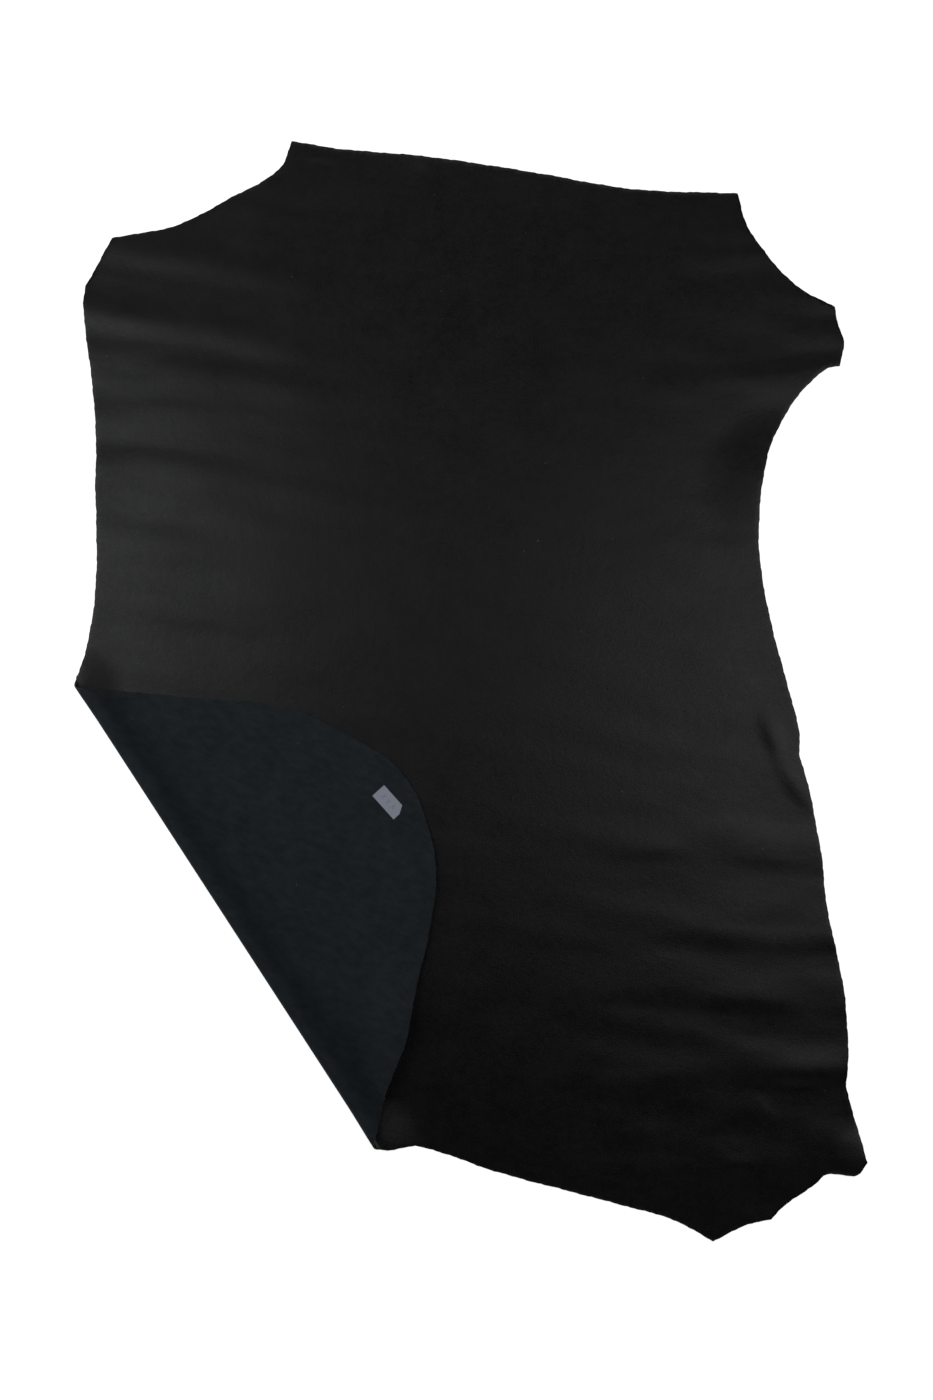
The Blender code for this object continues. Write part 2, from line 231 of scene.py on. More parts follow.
# ---- settings ----------------------------------------------------------------------------------
class SkinSettings(bpy.types.PropertyGroup):
    thickness: bpy.props.FloatProperty(
        name="Thickness", description="Thickness of the leather",
        default=1.8 * MM, min=0.5 * MM, max=4.0 * MM, subtype="DISTANCE")
    layer_gap: bpy.props.FloatProperty(
        name="Layer gap", description="Air between the skin and the corner lying on it",
        default=1.5 * MM, min=0.3 * MM, max=20.0 * MM, subtype="DISTANCE")
    ridge_scale: bpy.props.FloatProperty(
        name="Ridge height", description="Multiplies the height of every ridge and crease",
        default=1.0, min=0.0, max=3.0, subtype="FACTOR")
    spacing_across: bpy.props.FloatProperty(
        name="Spacing across", description="Spacing of mesh points from belly to belly",
        default=8.0 * MM, min=4.0 * MM, max=60.0 * MM, subtype="DISTANCE")
    spacing_down: bpy.props.FloatProperty(
        name="Spacing down", description="Spacing of mesh points from neck to rump",
        default=4.6 * MM, min=2.0 * MM, max=60.0 * MM, subtype="DISTANCE")


class LabelSettings(bpy.types.PropertyGroup):
    length: bpy.props.FloatProperty(
        name="Length", description="Length of the paper label",
        default=40.0 * MM, min=10.0 * MM, max=80.0 * MM, subtype="DISTANCE")
    width: bpy.props.FloatProperty(
        name="Width", description="Width of the paper label",
        default=20.0 * MM, min=5.0 * MM, max=60.0 * MM, subtype="DISTANCE")
    thickness: bpy.props.FloatProperty(
        name="Thickness", description="Thickness of the paper label",
        default=0.2 * MM, min=0.05 * MM, max=1.0 * MM, subtype="DISTANCE")


class ColourSettings(bpy.types.PropertyGroup):
    grain: bpy.props.FloatVectorProperty(
        name="Grain side", description="Dye colour of the smooth side",
        default=srgb("0b0a0a"), size=4, min=0.0, max=1.0, subtype="COLOR")
    flesh: bpy.props.FloatVectorProperty(
        name="Flesh side", description="Dye colour of the suede side",
        default=srgb("32393d"), size=4, min=0.0, max=1.0, subtype="COLOR")
    cut_edge: bpy.props.FloatVectorProperty(
        name="Cut edge", description="Colour of the leather's core at its cut edge",
        default=srgb("4c4a3a"), size=4, min=0.0, max=1.0, subtype="COLOR")
    paper: bpy.props.FloatVectorProperty(
        name="Paper", description="Colour of the label's paper",
        default=srgb("c4cbdc"), size=4, min=0.0, max=1.0, subtype="COLOR")
    ink: bpy.props.FloatVectorProperty(
        name="Ink", description="Colour of the pen marks",
        default=srgb("5c6784"), size=4, min=0.0, max=1.0, subtype="COLOR")
    lint: bpy.props.FloatVectorProperty(
        name="Lint", description="Colour of the loose fibres",
        default=srgb("a9b2b6"), size=4, min=0.0, max=1.0, subtype="COLOR")
    floor: bpy.props.FloatVectorProperty(
        name="Floor", description="Colour of the stage floor",
        default=srgb("f7f7f7"), size=4, min=0.0, max=1.0, subtype="COLOR")


class StageSettings(bpy.types.PropertyGroup):
    left_power: bpy.props.FloatProperty(
        name="Left light", description="Power of the softbox on the left",
        default=4.6, min=0.0, subtype="POWER")
    right_power: bpy.props.FloatProperty(
        name="Right light", description="Power of the softbox on the right",
        default=4.8, min=0.0, subtype="POWER")
    neck_power: bpy.props.FloatProperty(
        name="Neck light", description="Power of the softbox beyond the neck",
        default=3.2, min=0.0, subtype="POWER")
    rump_power: bpy.props.FloatProperty(
        name="Rump light", description="Power of the softbox beyond the rump",
        default=1.6, min=0.0, subtype="POWER")
    ambient: bpy.props.FloatProperty(
        name="Ambient light", description="Strength of the light from all round",
        default=0.0, min=0.0, max=2.0, subtype="FACTOR")
    floor_size: bpy.props.FloatProperty(
        name="Floor size", description="Side of the square floor",
        default=60.0, min=4.0, max=200.0, subtype="DISTANCE")


# ---- the fold ----------------------------------------------------------------------------------
FOLD_ORIGIN = np.array(FOLD_HIGH_END)
FOLD_SPAN = np.array(FOLD_LOW_END) - FOLD_ORIGIN
FOLD_ALONG = FOLD_SPAN / np.hypot(*FOLD_SPAN)
FOLD_INWARD = np.array((-FOLD_ALONG[1], FOLD_ALONG[0]))


def fold_section(thickness, gap):
    """Section across the fold: skin length past the turn's start, distance in, and height."""
    steps = 600
    length = np.linspace(0.0, BEND_LENGTH + SETTLE_LENGTH, steps)
    overshoot = np.radians(BEND_OVERSHOOT)
    share = np.minimum(length / BEND_LENGTH, 1.0)
    turning = (np.pi + overshoot) * (share + ease(share)) / 2.0
    heading = turning - overshoot * ease((length - BEND_LENGTH) / SETTLE_LENGTH)
    step = length[1]
    inward = np.concatenate(((0.0,), np.cumsum(-np.cos(heading[:-1]) * step)))
    height = np.concatenate(((0.0,), np.cumsum(np.sin(heading[:-1]) * step)))
    inward = inward - inward.min()
    top = height.max()
    rest = 2.0 * thickness + gap
    past_top = np.arange(steps) > height.argmax()
    fallen = top - (top - height) * (top - rest) / (top - height[-1])
    height = np.where(past_top, fallen, height)
    return length, inward, height


def fold_position(points):
    """Distances along the fold and in from it."""
    offset = np.asarray(points, dtype=float) - FOLD_ORIGIN
    return offset @ FOLD_ALONG, offset @ FOLD_INWARD


def from_fold(along, inward):
    """Points at the given distances along the fold and in from it."""
    return (FOLD_ORIGIN + np.multiply.outer(along, FOLD_ALONG)
            + np.multiply.outer(inward, FOLD_INWARD))


class Skin:
    """The lying skin's shape, in millimetres."""

    def __init__(self, settings):
        self.thickness = settings.thickness / MM
        self.ridge_scale = settings.ridge_scale
        section = fold_section(self.thickness, settings.layer_gap / MM)
        self.length, self.inward, self.height = section
        self.turn_start = self.inward[0]

    def corner_to_flat(self, along, reach):
        """Where a point of the turned corner is on the flat piece, unrolled past the fold."""
        unrolled = self.length[-1] + reach - self.inward[-1]
        past_edge = self.inward.argmin()
        rolled = np.interp(reach, self.inward[past_edge:], self.length[past_edge:])
        length = np.where(reach < self.inward[-1], rolled, unrolled)
        return from_fold(along, self.turn_start - length)

    def ridge_height(self, x, y):
        """Height of all the ridges at each place. No crest is quite straight or even."""
        wandered = y + RIDGE_WANDER * unevenness(x, y, 320.0, 200.0, 3)
        total = np.zeros_like(x)
        for ridge in RIDGES:
            share = (x - ridge.start_x) / ridge.run_x
            offset = wandered - (ridge.start_y + ridge.run_y * share)
            side = np.where(offset > 0.0, ridge.neck_side, ridge.tail_side)
            total += ridge.height * (1.0 - ease(share)) * mound(offset / side)
        return total * (1.0 + RIDGE_UNEVENNESS * unevenness(x, y, 200.0, 110.0, 5))

    def crease_height(self, x, y):
        """Height of the creases at each place."""
        total = np.zeros_like(x)
        for crease in CREASES:
            span = np.array((crease.end_x - crease.start_x, crease.end_y - crease.start_y))
            size = np.hypot(*span)
            direction = span / size
            offset_x, offset_y = x - crease.start_x, y - crease.start_y
            along = (offset_x * direction[0] + offset_y * direction[1]) / size
            across = offset_y * direction[0] - offset_x * direction[1]
            width = np.where(across > 0.0, crease.left_width, crease.right_width)
            total += crease.height * mound(2.0 * along - 1.0) * mound(across / width)
        return total

    def wave_height(self, x, y):
        """Height of the slight waves at each place."""
        loose = ease((np.abs(x) - BACK_HALF_WIDTH) / (FLANK_START - BACK_HALF_WIDTH))
        size = WAVE_MIDDLE + (WAVE_FLANK - WAVE_MIDDLE) * loose
        waves = unevenness(x, y, WAVE_ACROSS, WAVE_DOWN, 11)
        return size * (WAVE_BASE + waves + 0.18 * unevenness(x, y, 70.0, 28.0, 17))

    def lay(self, flat):
        """Places of the skin's flesh side for points of the flat piece."""
        along, flat_inward = fold_position(flat)
        length = self.turn_start - flat_inward
        turned = length > 0.0
        beyond = np.maximum(length - self.length[-1], 0.0)
        rolled = np.interp(length, self.length, self.inward) + beyond
        inward = np.where(turned, rolled, flat_inward)
        plan = from_fold(along, inward)
        x, y = plan[:, 0], plan[:, 1]
        section = np.interp(length, self.length, self.height)
        settled = ease((length - BEND_LENGTH) / SETTLE_LENGTH)
        relief = self.ridge_height(x, y) + self.crease_height(x, y) + self.wave_height(x, y)
        skin_height = np.maximum(relief, 0.0) * self.ridge_scale
        skin_height = skin_height + rise_height(SKIN_RISES, x, y)
        corner_waves = CORNER_WAVE_BASE + unevenness(x, y, 90.0, 110.0, 23)
        corner_wave = CORNER_WAVE * self.ridge_scale * corner_waves
        corner_height = section + (corner_lift(along, inward) + corner_wave) * settled
        height = np.where(turned, corner_height, skin_height)
        height = height + rise_height(FOLD_END_RISES, x, y)
        return np.column_stack((x, y, height))


def rise_height(rises, x, y):
    """Height of the round rises at each place."""
    total = np.zeros_like(x)
    for rise in rises:
        total += rise.height * mound(np.hypot(x - rise.x, y - rise.y) / rise.radius)
    return total


def corner_lift(along, reach):
    """How far the turned corner stands clear of where it would lie."""
    total = np.zeros_like(along)
    for lift in CORNER_LIFTS:
        total += (lift.height * mound((along - lift.along) / lift.along_radius)
                  * mound((reach - lift.reach) / lift.reach_radius))
    return total


# ---- the flat piece ----------------------------------------------------------------------------
def smooth_run(points, step):
    """Points along a smooth curve through the given points, without the last one."""
    points = np.array(points, dtype=float)
    before = np.vstack((2 * points[0] - points[1], points, 2 * points[-1] - points[-2]))
    run = []
    for start in range(len(points) - 1):
        p0, p1, p2, p3 = before[start:start + 4]
        chord = np.hypot(*(p2 - p1))
        near = (p2 - p0) * chord / (np.hypot(*(p1 - p0)) + chord)
        far = (p3 - p1) * chord / (np.hypot(*(p3 - p2)) + chord)
        count = max(1, int(round(chord / step)))
        for share in np.arange(count) / count:
            square, cube = share ** 2, share ** 3
            run.append((2 * cube - 3 * square + 1) * p1 + (cube - 2 * square + share) * near
                       + (3 * square - 2 * cube) * p2 + (cube - square) * far)
    return run


def flat_outline(skin, step):
    """The cut edge of the flat piece, clockwise from the neck's left corner."""
    corner = [tuple(skin.corner_to_flat(row.along, row.reach)) for row in CORNER_EDGE]
    hind_run = RUMP_TO_FOLD + tuple(corner) + FOLD_TO_FORELEG
    runs = list(EDGE_BEFORE_FOLD.values()) + [hind_run] + list(EDGE_AFTER_FOLD.values())
    outline = []
    start = ()
    for run in runs:
        outline.extend(smooth_run(start + run, step))
        start = (run[-1],)
    outline = np.array(outline)
    ahead = np.roll(outline, -1, axis=0) - np.roll(outline, 1, axis=0)
    sideways = np.column_stack((ahead[:, 1], -ahead[:, 0])) / np.hypot(*ahead.T)[:, None]
    place = np.arange(len(outline)) * step
    wander = np.zeros(len(outline))
    for wave, phase in ((173.0, 0.4), (61.0, 2.1), (23.0, 4.4), (11.0, 1.3)):
        wander += np.sin(place * 2.0 * np.pi / wave + phase) * EDGE_WANDER / 2.0
    return outline + sideways * wander[:, None]


def inside(points, outline, margin):
    """Whether each point is inside the outline by more than the margin."""
    ends = np.roll(outline, -1, axis=0)
    spans = ends - outline
    squares = (spans ** 2).sum(1)
    kept = np.zeros(len(points), dtype=bool)
    block = 1000
    for start in range(0, len(points), block):
        x, y = (points[start:start + block, axis][:, None] for axis in (0, 1))
        offset_x, offset_y = x - outline[:, 0], y - outline[:, 1]
        share = np.clip((offset_x * spans[:, 0] + offset_y * spans[:, 1]) / squares, 0.0, 1.0)
        nearest = np.hypot(offset_x - share * spans[:, 0], offset_y - share * spans[:, 1])
        spanning = (outline[:, 1] > y) != (ends[:, 1] > y)
        slope = spans[:, 0] / np.where(spans[:, 1] == 0.0, 1.0, spans[:, 1])
        crossing = spanning & (outline[:, 0] + slope * offset_y > x)
        odd = np.count_nonzero(crossing, axis=1) % 2 == 1
        kept[start:start + block] = odd & (nearest.min(axis=1) > margin)
    return kept


def fold_lines(skin, row_step, column_step):
    """Points and edges of lines along the fold, close together where the skin turns."""
    turn_rows = np.arange(0.0, BEND_LENGTH, row_step)
    settle_rows = BEND_LENGTH + np.arange(0.0, SETTLE_LENGTH, 3.0 * row_step)
    lengths = np.concatenate((turn_rows, settle_rows))
    margin = 20.0
    columns = np.arange(-margin, np.hypot(*FOLD_SPAN) + margin, column_step)
    along, length = np.meshgrid(columns, lengths)
    points = from_fold(along.ravel(), skin.turn_start - length.ravel())
    number = np.arange(len(points)).reshape(along.shape)
    edges = np.column_stack((number[:, :-1].ravel(), number[:, 1:].ravel()))
    return points, edges


def grid_points(skin, outline, across, down):
    """A staggered grid over the piece, clear of the fold."""
    low, high = outline.min(0), outline.max(0)
    columns = np.arange(low[0], high[0], across)
    rows = np.arange(low[1], high[1], down)
    column, row = np.meshgrid(np.arange(len(columns)), np.arange(len(rows)))
    column, row = column.ravel(), row.ravel()
    points = np.column_stack((columns[column] + (row % 2) * across / 2, rows[row]))
    length = skin.turn_start - fold_position(points)[1]
    clear = (length < -down) | (length > BEND_LENGTH + SETTLE_LENGTH + down)
    points = points[clear]
    return points[inside(points, outline, down / 2.0)]


def flat_faces(skin, across, down):
    """Points and triangles of the flat piece, its fold's lines kept as edges."""
    outline = flat_outline(skin, down)
    grid = grid_points(skin, outline, across, down)
    line_points, line_edges = fold_lines(skin, down / 4.0, across)
    line_start = len(outline) + len(grid)
    points = [Vector(point) for point in np.vstack((outline, grid, line_points))]
    edges = (line_edges + line_start).tolist()
    inside_only = 1
    snap = 0.4
    found = delaunay_2d_cdt(points, edges, [list(range(len(outline)))], inside_only, snap)
    used = sorted({corner for face in found[2] for corner in face})
    number = {corner: index for index, corner in enumerate(used)}
    flat = np.array([tuple(found[0][corner]) for corner in used])
    return flat, [[number[corner] for corner in face] for face in found[2]]


def signed_area(points):
    """Area of a closed outline, positive where it runs counter-clockwise."""
    x, y = points[:, 0], points[:, 1]
    return 0.5 * np.sum(x * np.roll(y, -1) - np.roll(x, -1) * y)


# ---- materials ---------------------------------------------------------------------------------
def add_node(tree, kind, inputs=None, **settings):
    """Add a node with its settings. An input's value is a number, a colour or a socket to link."""
    node = tree.nodes.new(kind)
    for name, value in settings.items():
        setattr(node, name, value)
    set_inputs(tree, node, inputs or {})
    return node


def new_material(name):
    """A material with an empty Principled shader, and its tree and shader."""
    material = bpy.data.materials.new(name)
    material.use_nodes = True
    tree = material.node_tree
    tree.nodes.clear()
    shader = add_node(tree, "ShaderNodeBsdfPrincipled")
    add_node(tree, "ShaderNodeOutputMaterial", {"Surface": shader.outputs["BSDF"]})
    return material, tree, shader


def set_inputs(tree, node, inputs):
    """Set or link inputs of a node that is already there."""
    for name, value in inputs.items():
        if isinstance(value, bpy.types.NodeSocket):
            tree.links.new(value, node.inputs[name])
        else:
            node.inputs[name].default_value = value


def flat_place(tree, stretch=(1.0, 1.0, 1.0)):
    """The place on the flat cut piece, in metres, stretched for patterns with a direction."""
    uv = add_node(tree, "ShaderNodeUVMap", uv_map=FLAT_MAP)
    mapping = add_node(tree, "ShaderNodeMapping", {"Vector": uv.outputs["UV"], "Scale": stretch})
    return mapping.outputs["Vector"]


def noise(tree, place, size, detail=2.0, roughness=0.5):
    """Noise whose lumps are about the given size, in millimetres."""
    node = add_node(tree, "ShaderNodeTexNoise",
                    {"Vector": place, "Scale": 1.0 / (size * MM), "Detail": detail,
                     "Roughness": roughness})
    return node.outputs["Fac"]


def spread(tree, value, low, high):
    """Stretch noise, which stays near a half, to run from low to high."""
    node = add_node(tree, "ShaderNodeMapRange",
                    {"Value": value, "From Min": 0.3, "From Max": 0.7,
                     "To Min": low, "To Max": high})
    return node.outputs["Result"]


def shade_of(colour, factor):
    """The same colour, lighter or darker."""
    return (*(part * factor for part in colour[:3]), 1.0)


def grain_leather(colours):
    """Drum-dyed calf, plated smooth: fine pebbled grain with a low satin shine, its dye and
    its polish a little cloudy."""
    material, tree, shader = new_material("calf_grain_drum_dyed")
    place = flat_place(tree)
    pebble_size = 1.7       # real pores are 0.3 mm apart; drawn coarser so that they show
    pebbles = add_node(tree, "ShaderNodeTexVoronoi",
                       {"Vector": place, "Scale": 1.0 / (pebble_size * MM),
                        "Randomness": 1.0}, feature="SMOOTH_F1")
    cloud = noise(tree, place, 55.0, 3.0, 0.55)
    mottle = noise(tree, place, 11.0, 3.0, 0.6)
    fine = noise(tree, place, 3.2, 2.0, 0.6)
    uptake = add_node(tree, "ShaderNodeMath",
                      {0: spread(tree, cloud, 0.0, 0.5), 1: spread(tree, mottle, 0.0, 0.5)},
                      operation="ADD")
    dye = add_node(tree, "ShaderNodeMixRGB",
                   {"Fac": uptake.outputs["Value"],
                    "Color1": shade_of(colours.grain, 0.45),
                    "Color2": shade_of(colours.grain, 1.55)})
    cloudy = add_node(tree, "ShaderNodeMath",
                      {0: spread(tree, cloud, 0.37, 0.42),
                       1: spread(tree, mottle, -0.022, 0.022)}, operation="ADD")
    patchy = add_node(tree, "ShaderNodeMath",
                      {0: cloudy.outputs["Value"],
                       1: spread(tree, fine, -0.030, 0.030)}, operation="ADD")
    swell = add_node(tree, "ShaderNodeBump",
                     {"Height": mottle, "Distance": 0.22 * MM, "Strength": 1.0})
    skin_bump = add_node(tree, "ShaderNodeBump",
                         {"Height": pebbles.outputs["Distance"], "Distance": 0.07 * MM,
                          "Strength": 1.0, "Normal": swell.outputs["Normal"]})
    set_inputs(tree, shader, {
        "Base Color": dye.outputs["Color"],
        "Roughness": patchy.outputs["Value"],
        "IOR": 1.5,
        "Normal": skin_bump.outputs["Normal"],
    })
    return material


def painted_fold_shade(tree):
    """Painted shade on the flesh side by how far it is past the fold: a faint painted highlight at
    the fold, then painted shade, darkest beside the bend.
    """
    uv = add_node(tree, "ShaderNodeUVMap", uv_map=FLAT_MAP)
    inward = add_node(tree, "ShaderNodeVectorMath",
                      {0: uv.outputs["UV"], 1: (*FOLD_INWARD, 0.0)}, operation="DOT_PRODUCT")
    fold_place = float(FOLD_ORIGIN @ FOLD_INWARD) * MM
    past = add_node(tree, "ShaderNodeMapRange",
                    {"Value": inward.outputs["Value"], "From Min": fold_place,
                     "From Max": fold_place - FOLD_SHADE_REACH * MM, "To Min": 0.0, "To Max": 1.0})
    ramp = add_node(tree, "ShaderNodeValToRGB", {"Fac": past.outputs["Result"]})
    ramp.color_ramp.interpolation = "EASE"
    stops = ramp.color_ramp.elements
    while len(stops) < len(PAINTED_FOLD_SHADES):
        stops.new(0.5)
    for stop, (place, shade) in zip(stops, PAINTED_FOLD_SHADES):
        stop.position = place
        stop.color = (shade, shade, shade, 1.0)
    return ramp.outputs["Color"]


def flesh_suede(colours):
    """Shaved flesh side: a short blue-black nap that lies in different directions, so that it
    is matt and cloudy and lighter where it is seen edge on."""
    material, tree, shader = new_material("calf_flesh_shaved_suede")
    place = flat_place(tree)
    cloud = noise(tree, place, 45.0, 3.0, 0.6)
    strokes = noise(tree, flat_place(tree, (1.0, 0.5, 1.0)), 9.0, 4.0, 0.65)
    tufts = noise(tree, place, 3.0, 2.0, 0.7)
    nap = add_node(tree, "ShaderNodeMath",
                   {0: spread(tree, cloud, 0.35, 0.65), 1: spread(tree, strokes, -0.35, 0.35)},
                   operation="ADD", use_clamp=True)
    dye = add_node(tree, "ShaderNodeMixRGB",
                   {"Fac": nap.outputs["Value"],
                    "Color1": shade_of(colours.flesh, 0.70),
                    "Color2": shade_of(colours.flesh, 1.30)})
    # Painted shade and a faint painted highlight beside the fold, multiplied into the nap's dye
    # colour.
    fold_shaded = add_node(tree, "ShaderNodeMixRGB",
                       {"Fac": 1.0, "Color1": dye.outputs["Color"],
                        "Color2": painted_fold_shade(tree)}, blend_type="MULTIPLY")
    pile = add_node(tree, "ShaderNodeBump",
                    {"Height": tufts, "Distance": 0.6 * MM, "Strength": 1.0})
    set_inputs(tree, shader, {
        "Base Color": fold_shaded.outputs["Color"],
        "Roughness": 0.9,
        "IOR": 1.45,
        "Specular IOR Level": 0.15,
        "Sheen Weight": 0.15,
        "Sheen Roughness": 0.5,
        "Sheen Tint": srgb("9fb6c4"),
        "Normal": pile.outputs["Normal"],
    })
    return material


def cut_leather(colours):
    """Knife-cut core of the leather: dull, fibrous, and greyer than the dyed faces."""
    material, tree, shader = new_material("calf_cut_edge_raw")
    place = flat_place(tree)
    fibres = noise(tree, place, 1.2, 3.0, 0.6)
    dye = add_node(tree, "ShaderNodeMixRGB",
                   {"Fac": spread(tree, fibres, 0.0, 1.0),
                    "Color1": shade_of(colours.cut_edge, 0.6),
                    "Color2": shade_of(colours.cut_edge, 1.4)})
    rough = add_node(tree, "ShaderNodeBump",
                     {"Height": fibres, "Distance": 0.2 * MM, "Strength": 1.0})
    set_inputs(tree, shader, {
        "Base Color": dye.outputs["Color"],
        "Roughness": 0.85,
        "IOR": 1.45,
        "Normal": rough.outputs["Normal"],
    })
    return material


def label_paper(colours):
    """Uncoated wood-pulp paper: matt, with faint cloudy fibres."""
    material, tree, shader = new_material("paper_uncoated")
    place = add_node(tree, "ShaderNodeTexCoord").outputs["Object"]
    pulp = noise(tree, place, 1.5, 3.0, 0.6)
    tone = add_node(tree, "ShaderNodeMixRGB",
                    {"Fac": spread(tree, pulp, 0.0, 1.0),
                     "Color1": shade_of(colours.paper, 0.94),
                     "Color2": shade_of(colours.paper, 1.04)})
    tooth = add_node(tree, "ShaderNodeBump",
                     {"Height": pulp, "Distance": 0.02 * MM, "Strength": 1.0})
    set_inputs(tree, shader, {
        "Base Color": tone.outputs["Color"],
        "Roughness": 0.75,
        "IOR": 1.5,
        "Normal": tooth.outputs["Normal"],
    })
    return material


def pen_ink(colours):
    """Ballpoint ink, drawn thinly, so that it is pale and broken by the paper's tooth."""
    material, tree, shader = new_material("ballpoint_ink")
    place = add_node(tree, "ShaderNodeTexCoord").outputs["Object"]
    skips = noise(tree, place, 0.8, 2.0, 0.6)
    tone = add_node(tree, "ShaderNodeMixRGB",
                    {"Fac": spread(tree, skips, 0.0, 1.0),
                     "Color1": shade_of(colours.ink, 0.8),
                     "Color2": shade_of(colours.ink, 1.6)})
    set_inputs(tree, shader, {"Base Color": tone.outputs["Color"], "Roughness": 0.5})
    return material


def lint_fibre(colours):
    """Loose collagen fibres shed by the flesh side: pale, dry and matt."""
    material, tree, shader = new_material("collagen_fibre_loose")
    place = add_node(tree, "ShaderNodeTexCoord").outputs["Object"]
    variety = noise(tree, place, 12.0, 1.0)
    tone = add_node(tree, "ShaderNodeMixRGB",
                    {"Fac": spread(tree, variety, 0.0, 1.0),
                     "Color1": shade_of(colours.lint, 0.4),
                     "Color2": shade_of(colours.lint, 1.3)})
    set_inputs(tree, shader, {"Base Color": tone.outputs["Color"], "Roughness": 0.9})
    return material


def studio_floor(colours):
    """Opal acrylic table lit from below: even white, with hardly a shadow on it."""
    material, tree, shader = new_material("acrylic_opal_backlit")
    place = add_node(tree, "ShaderNodeTexCoord").outputs["Object"]
    cloud = noise(tree, place, 400.0, 1.0)
    tone = add_node(tree, "ShaderNodeMixRGB",
                    {"Fac": spread(tree, cloud, 0.0, 1.0),
                     "Color1": shade_of(colours.floor, 0.99),
                     "Color2": colours.floor})
    set_inputs(tree, shader, {
        "Base Color": tone.outputs["Color"],
        "Roughness": 0.8,
        "Specular IOR Level": 0.2,
        "Emission Color": colours.floor,
        "Emission Strength": 0.95,
    })
    return material


# ---- making and finishing objects --------------------------------------------------------------
def link_mesh(name, mesh):
    piece = bpy.data.objects.new(name, mesh)
    bpy.context.scene.collection.objects.link(piece)
    return piece


def made_plain(piece):
    """The piece with its modifiers' result as its own mesh, and no modifiers."""
    bpy.context.view_layer.update()
    evaluated = piece.evaluated_get(bpy.context.evaluated_depsgraph_get())
    mesh = bpy.data.meshes.new_from_object(evaluated)
    piece.modifiers.clear()
    piece.data = mesh
    mesh.name = piece.name
    return piece


def sheet_mesh(name, places, faces, flat, materials):
    """A mesh of the given places in metres, with the flat place as its UV map."""
    mesh = bpy.data.meshes.new(name)
    mesh.from_pydata(places.tolist(), [], faces)
    uv = mesh.uv_layers.new(name=FLAT_MAP)
    corners = np.zeros(len(mesh.loops), dtype=np.int32)
    mesh.loops.foreach_get("vertex_index", corners)
    uv.uv.foreach_set("vector", (flat[corners] * MM).astype(np.float32).ravel())
    for material in materials:
        mesh.materials.append(material)
    mesh.shade_smooth()
    return mesh


def flesh_side_out(points, faces):
    """Faces turned so that, on the flat piece, they look down, as the flesh side does."""
    return [list(face) if signed_area(points[list(face)]) < 0.0 else list(reversed(face))
            for face in faces]


def skin_middle(skin):
    """Middle of the lying skin's box, from its edge and its fold."""
    outline = skin.lay(flat_outline(skin, 2.0))
    ends = np.array((FOLD_HIGH_END, FOLD_LOW_END))
    plan = np.vstack((outline[:, :2], ends))
    middle = (plan.min(0) + plan.max(0)) / 2.0
    return np.array((*middle, 0.0))


class HIDE_OT_add_skin(bpy.types.Operator):
    """Add the skin as one sheet with its ridges and its turned corner"""
    bl_idname = "hide.add_skin"
    bl_label = "Add skin"

    def execute(self, context):
        settings = context.scene.hide_skin
        colours = context.scene.hide_colours
        skin = Skin(settings)
        flat, faces = flat_faces(skin, settings.spacing_across / MM, settings.spacing_down / MM)
        places = (skin.lay(flat) - skin_middle(skin)) * MM
        materials = [flesh_suede(colours), grain_leather(colours), cut_leather(colours)]
        mesh = sheet_mesh("hide_leather", places, flesh_side_out(flat, faces), flat, materials)
        piece = link_mesh("hide_leather", mesh)
        wall = piece.modifiers.new("thickness", "SOLIDIFY")
        wall.thickness = settings.thickness
        wall.offset = -1.0
        wall.material_offset = 1
        wall.material_offset_rim = 2
        edge = piece.modifiers.new("worn_edge", "BEVEL")
        edge.width = settings.thickness * 0.42
        edge.material = 2
        edge.segments = 2
        edge.limit_method = "ANGLE"
        edge.angle_limit = math.radians(55.0)
        made_plain(piece)
        piece.data.set_sharp_from_angle(angle=math.radians(40.0))
        outline = flat_outline(skin, 2.0)
        extent = (outline.max(0) - outline.min(0)) * MM
        context.scene["hide_flat"] = [*extent.tolist(), abs(signed_area(outline)) * MM * MM]
        return {"FINISHED"}


def label_place(skin, points, lift):
    """Places in metres of points of the label, drawn from its centre, above the flesh side."""
    turn = math.radians(LABEL_TURN)
    rotation = np.array(((math.cos(turn), math.sin(turn)), (-math.sin(turn), math.cos(turn))))
    along, reach = (np.asarray(points) @ rotation + (LABEL_ALONG, LABEL_REACH)).T
    places = skin.lay(skin.corner_to_flat(along, reach)) - skin_middle(skin)
    places[:, 2] += LABEL_CLEARANCE + lift
    return places * MM


